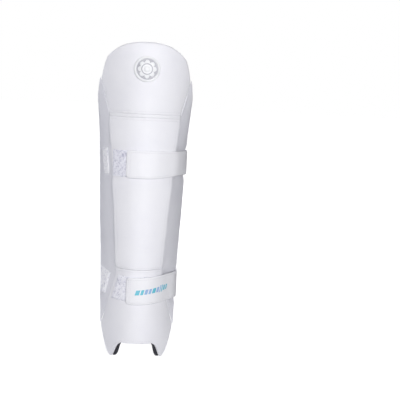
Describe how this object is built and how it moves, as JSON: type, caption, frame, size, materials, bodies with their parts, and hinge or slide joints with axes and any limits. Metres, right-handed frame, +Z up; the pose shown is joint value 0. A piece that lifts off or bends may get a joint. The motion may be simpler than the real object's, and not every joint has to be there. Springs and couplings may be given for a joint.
{
  "type": "cricket leg pad",
  "caption": "Padded leg guard in hinged knee, shin and instep sections with side wings, worn over the front of the leg and held by wrap-round straps with hook-and-loop tabs.",
  "frame": {"origin": "centre of the flat face of the inner shin cushion, where the pad bears on the leg", "axes": "+Z up the leg towards the knee, +Y out of the cushion towards the leg, so the front of the pad faces -Y and +X is to the right of someone looking at the front"},
  "size_m": [0.181, 0.1491, 0.603],
  "materials": {
    "cover": "satin",
    "binding": "satin",
    "loop_tape": "matte",
    "hook_tape": "matte",
    "foam": "matte",
    "board": "satin",
    "lining": "matte",
    "cushion": "matte",
    "elastic": "matte",
    "badge": "satin"
  },
  "bodies": {
    "shin": {"shin_face": "cover", "shin_plate": "board", "shin_core": "foam", "shin_lining": "lining", "shin_cushion": "cushion", "ankle_face": "cover", "ankle_core": "foam", "ankle_lining": "lining", "ankle_cushion": "cushion", "knee_hinge_strip": "binding", "instep_hinge_strip": "binding", "left_fold_strip": "binding", "right_fold_strip": "binding", "upper_loop_patch": "loop_tape", "lower_loop_patch": "loop_tape", "upper_strap_anchor": "elastic", "lower_strap_anchor": "elastic", "upper_strap_root": "elastic", "lower_strap_root": "elastic"},
    "knee": {"knee_face": "cover", "knee_plate": "board", "knee_core": "foam", "knee_lining": "lining", "knee_roll_lower": "cushion", "knee_roll_upper": "cushion", "knee_binding": "binding", "left_gusset": "cover", "right_gusset": "cover", "badge_base": "badge", "badge_ring": "badge", "badge_boss": "badge"},
    "instep": {"instep_face": "cover", "instep_core": "foam", "instep_lining": "lining", "instep_cushion": "cushion", "instep_binding": "binding"},
    "left_wing": {"left_wing_face": "cover", "left_wing_core": "foam", "left_wing_lining": "lining", "left_wing_binding": "binding", "left_upper_loop_patch": "loop_tape", "left_lower_loop_patch": "loop_tape"},
    "right_wing": {"right_wing_face": "cover", "right_wing_core": "foam", "right_wing_lining": "lining", "right_wing_binding": "binding"},
    "upper_band": {"upper_strap_band": "elastic"},
    "upper_tab": {"upper_strap_tab": "cover", "upper_hook_patch": "hook_tape"},
    "lower_band": {"lower_strap_band": "elastic"},
    "lower_tab": {"lower_strap_tab": "cover", "lower_hook_patch": "hook_tape"}
  },
  "joints": [
    {"name": "knee_flex", "type": "hinge", "parent": "shin", "child": "knee", "pos_m": [0, -0.015, 0.149], "axis": [-1, 0, 0], "range_deg": [-8, 22], "stiffness_Nm_per_rad": 0.6},
    {"name": "instep_flex", "type": "hinge", "parent": "shin", "child": "instep", "pos_m": [0, -0.025, -0.2085], "axis": [-1, 0, 0], "range_deg": [-4, 22], "stiffness_Nm_per_rad": 0.3},
    {"name": "left_wing_flex", "type": "hinge", "parent": "shin", "child": "left_wing", "pos_m": [-0.05414, -0.0019, -0.00394], "axis": [-0.0759, 0.0179, 0.997], "range_deg": [-1, 15], "stiffness_Nm_per_rad": 0.3},
    {"name": "right_wing_flex", "type": "hinge", "parent": "shin", "child": "right_wing", "pos_m": [0.05414, -0.0019, -0.00394], "axis": [-0.0759, -0.0179, -0.997], "range_deg": [-15, 1], "stiffness_Nm_per_rad": 0.3},
    {"name": "upper_band_swing", "type": "hinge", "parent": "shin", "child": "upper_band", "pos_m": [-0.0743, 0.06014, 0.0605], "axis": [0, 0, 1], "range_deg": [0, 30]},
    {"name": "upper_tab_open", "type": "hinge", "parent": "upper_band", "child": "upper_tab", "pos_m": [0.08825, 0.05237, 0.0605], "axis": [0, 0, 1], "range_deg": [0, 110]},
    {"name": "lower_band_swing", "type": "hinge", "parent": "shin", "child": "lower_band", "pos_m": [-0.06726, 0.05355, -0.178], "axis": [0, 0, 1], "range_deg": [0, 30]},
    {"name": "lower_tab_open", "type": "hinge", "parent": "lower_band", "child": "lower_tab", "pos_m": [0.07973, 0.05261, -0.178], "axis": [0, 0, 1], "range_deg": [0, 110]}
  ],
  "couplings": [
    {"joint": "upper_band_swing", "follows": "upper_tab_open", "ratio": 0.25},
    {"joint": "lower_band_swing", "follows": "lower_tab_open", "ratio": 0.25}
  ]
}
